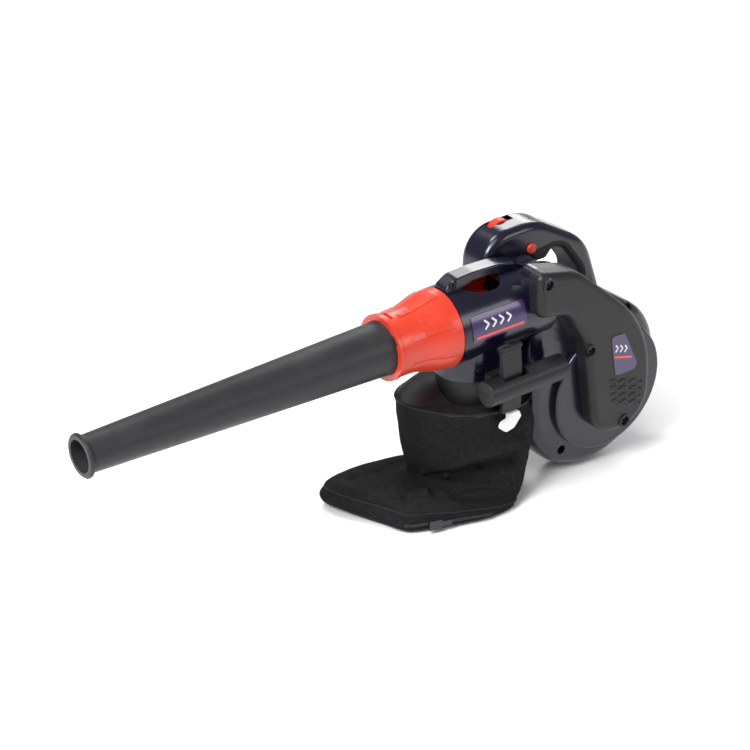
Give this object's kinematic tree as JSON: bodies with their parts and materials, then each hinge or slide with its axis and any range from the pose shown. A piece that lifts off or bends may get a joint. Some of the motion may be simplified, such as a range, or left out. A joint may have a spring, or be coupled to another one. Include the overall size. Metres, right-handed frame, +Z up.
{
  "type": "electric leaf blower and vacuum",
  "caption": "Hand-held leaf blower and vacuum with a long tapered nozzle, a turning mode collar, a round fan casing, a loop handle and a dust bag.",
  "frame": {"origin": "centre of the base of the whole object's bounding box, on the floor", "axes": "+X runs from the nozzle to the handle, parallel to the nozzle; +Y from the fan side to the motor side; +Z up"},
  "size_m": [0.684, 0.1684, 0.2865],
  "materials": {
    "housing": "glossy dark navy",
    "red": "glossy orange red",
    "dark": "satin dark grey",
    "nozzle": "fine grained dark grey",
    "label": "printed foil",
    "liner": "soft black",
    "fabric": "woven black polyester",
    "white": "white moulded",
    "steel": "zinc plated",
    "laminations": "stacked steel sheet",
    "copper": "enamelled copper",
    "brass": "pressed brass",
    "carbon": "carbon",
    "zip_metal": "blackened zinc",
    "fan": "glass filled nylon",
    "electric": "moulded"
  },
  "bodies": {
    "body": {"adapter_seal": "liner", "arch_screws": "steel", "bag_adapter": "dark", "bag_hood": "fabric", "bag_hook": "white", "bag_zip": "fabric", "body_left": "housing", "body_plate": "label", "body_right": "housing", "brush_holders": "brass", "brush_springs": "steel", "cable_inlet": "liner", "capacitor": "electric", "carbon_brushes": "carbon", "case_screws": "steel", "cover_plate": "label", "cover_screws": "steel", "drum_seal": "liner", "duct_cover": "dark", "dust_bag": "fabric", "eye_guard": "dark", "field_coils": "copper", "flange_screws": "steel", "front_bearing": "steel", "handle_left": "housing", "handle_liner": "liner", "handle_right": "housing", "handle_screws": "steel", "latch_barrel": "dark", "latch_pin": "steel", "latch_spring": "steel", "motor_end_cap": "housing", "motor_housing": "housing", "motor_screws": "steel", "port_screws": "steel", "rear_bearing": "steel", "speed_module": "electric", "stand_foot": "dark", "stator_core": "laminations", "switch_module": "electric", "trigger_pin": "steel", "trigger_spring": "steel", "vent_bridge": "housing", "zip_slider": "zip_metal"},
    "rotor": {"shaft": "steel", "impeller": "fan", "fan_nut": "steel", "cooling_fan": "fan", "armature_core": "laminations", "armature_windings": "copper", "commutator": "copper"},
    "selector": {"mode_collar": "red", "valve_drum": "red"},
    "nozzle": {"nozzle_tube": "nozzle"},
    "trigger_lever": {"trigger": "red"},
    "lock": {"lock_button": "red", "lock_spring": "steel"},
    "dial": {"speed_dial": "red"},
    "latch": {"bag_latch": "dark"}
  },
  "joints": [
    {"name": "rotor_spin", "type": "hinge", "parent": "body", "child": "rotor", "pos_m": [0.268, -0.01762, 0.096], "axis": [0, 1, 0], "continuous": true},
    {"name": "mode_turn", "type": "hinge", "parent": "body", "child": "selector", "pos_m": [0.034, -0.01762, 0.214], "axis": [1, 0, 0], "range_deg": [0, 180]},
    {"name": "nozzle_twist", "type": "hinge", "parent": "selector", "child": "nozzle", "pos_m": [0.014, -0.01762, 0.214], "axis": [1, 0, 0], "range_deg": [0, 24]},
    {"name": "trigger_pull", "type": "hinge", "parent": "body", "child": "trigger_lever", "pos_m": [0.1945, 0.01638, 0.25], "axis": [0, -1, 0], "range_deg": [0, 12], "stiffness_Nm_per_rad": 0.5, "springref_deg": -11.46},
    {"name": "lock_press", "type": "slide", "parent": "body", "child": "lock", "axis": [0, 1, 0], "range_m": [0, 0.002], "stiffness_N_per_m": 600, "springref_m": -0.002},
    {"name": "speed_turn", "type": "hinge", "parent": "body", "child": "dial", "pos_m": [0.179, 0.02388, 0.272], "axis": [0, 1, 0], "range_deg": [0, 270]},
    {"name": "latch_press", "type": "hinge", "parent": "body", "child": "latch", "pos_m": [0.121, -0.07062, 0.154], "axis": [-1, 0, 0], "range_deg": [0, 10], "stiffness_Nm_per_rad": 0.3, "springref_deg": -11.46}
  ]
}
